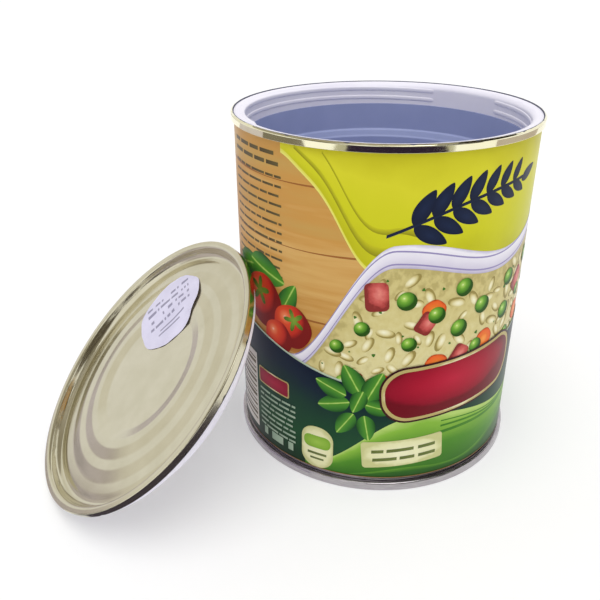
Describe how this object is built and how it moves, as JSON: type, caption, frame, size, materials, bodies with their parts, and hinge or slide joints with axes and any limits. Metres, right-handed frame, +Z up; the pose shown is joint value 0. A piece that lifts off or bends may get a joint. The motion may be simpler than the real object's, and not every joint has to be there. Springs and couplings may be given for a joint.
{
  "type": "can diversion safe",
  "caption": "Hiding place made from a preserves can: labelled tin can with a threaded collar and a hidden inner container, and a lid with a screw-in plug that leans against its side.",
  "frame": {"origin": "on the floor, under the middle of the outline of the standing can and the leaning lid", "axes": "+Z up along the can's axis; -Y towards the viewer; the lid leans on the can's -X side"},
  "size_m": [0.17, 0.1396, 0.118],
  "materials": {
    "tinplate": "bright tinplate",
    "gold_tinplate": "gold lacquer over bright tinplate",
    "label_paper": "glossy printed paper",
    "white_plastic": "moulded, slightly glossy",
    "grey_plastic": "moulded, matte",
    "glue": "hot-melt glue",
    "seal_rubber": "matte",
    "cement": "cast, rough",
    "sticker_paper": "coated paper"
  },
  "bodies": {
    "can": {"can_body": "tinplate", "bottom_end": "tinplate", "top_rim_ring": "gold_tinplate", "paper_label": "label_paper", "threaded_collar": "white_plastic", "collar_glue": "glue", "liner_cup": "grey_plastic", "ballast_disc": "cement"},
    "lid_seal": {"lid_seal_ring": "seal_rubber"},
    "lid": {"lid_end": "gold_tinplate", "lid_body_hook": "tinplate", "lid_plug": "white_plastic", "lid_glue_ring": "glue", "lid_sticker": "sticker_paper"}
  },
  "joints": [
    {"name": "lid_lift", "type": "slide", "parent": "can", "child": "lid_seal", "axis": [-0.6074, -0.3422, 0.7169], "range_m": [0, 0.12]},
    {"name": "lid_turn", "type": "hinge", "parent": "lid_seal", "child": "lid", "pos_m": [-0.04465, -0.02211, 0.03784], "axis": [-0.6074, -0.3422, 0.7169], "continuous": true}
  ]
}
